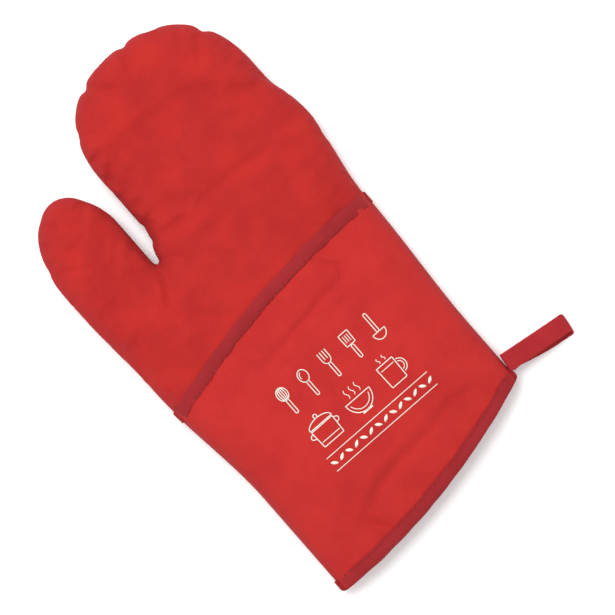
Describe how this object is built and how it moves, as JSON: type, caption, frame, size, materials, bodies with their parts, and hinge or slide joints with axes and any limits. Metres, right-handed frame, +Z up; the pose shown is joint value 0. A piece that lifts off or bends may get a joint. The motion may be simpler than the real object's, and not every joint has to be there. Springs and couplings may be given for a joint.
{
  "type": "oven mitt",
  "caption": "Padded fabric oven mitt lying flat, with a thumb, a front pocket panel with a bound edge, a bound cuff and a hanging loop.",
  "frame": {"origin": "on the plane that the mitt rests on, on the cuff's centre line, under the palm", "axes": "+Y towards the fingertips along the mitt's length, +Z up out of the pocket side, +X away from the thumb"},
  "size_m": [0.2181, 0.334, 0.0287],
  "materials": {
    "outer_fabric": "plain weave cotton, matt, red",
    "binding_fabric": "folded plain weave cotton strip, matt, crimson",
    "tape": "woven cotton tape, matt, crimson",
    "thread": "sewing thread, slight sheen, dark red",
    "wadding": "fibre batting, matt, off-white",
    "lining_fabric": "plain cotton lining, matt, natural"
  },
  "bodies": {
    "root": {"palm_front_shell": "outer_fabric", "palm_front_batting": "wadding", "palm_front_lining": "lining_fabric", "palm_back_shell": "outer_fabric", "palm_back_batting": "wadding", "palm_back_lining": "lining_fabric", "pocket_panel": "outer_fabric", "pocket_binding": "binding_fabric", "pocket_stitching": "thread", "hem_binding": "binding_fabric", "hem_stitching": "thread", "loop_bartack": "thread"},
    "fingers": {"finger_front_shell": "outer_fabric", "finger_front_batting": "wadding", "finger_front_lining": "lining_fabric", "finger_back_shell": "outer_fabric", "finger_back_batting": "wadding", "finger_back_lining": "lining_fabric"},
    "thumb": {"thumb_front_shell": "outer_fabric", "thumb_front_batting": "wadding", "thumb_front_lining": "lining_fabric", "thumb_back_shell": "outer_fabric", "thumb_back_batting": "wadding", "thumb_back_lining": "lining_fabric"},
    "loop": {"hanging_loop": "tape"}
  },
  "joints": [
    {"name": "finger_curl", "type": "hinge", "parent": "root", "child": "fingers", "pos_m": [0.03, 0.099, 0.026], "axis": [1, 0, 0], "range_deg": [0, 70]},
    {"name": "thumb_close", "type": "hinge", "parent": "root", "child": "thumb", "pos_m": [-0.062, 0.0645, 0.026], "axis": [0.687, 0.7266, 0], "range_deg": [0, 50]},
    {"name": "loop_swing", "type": "hinge", "parent": "root", "child": "loop", "pos_m": [0.08818, -0.092, 0.012], "axis": [-0.1305, -0.9914, 0], "range_deg": [0, 100]}
  ]
}
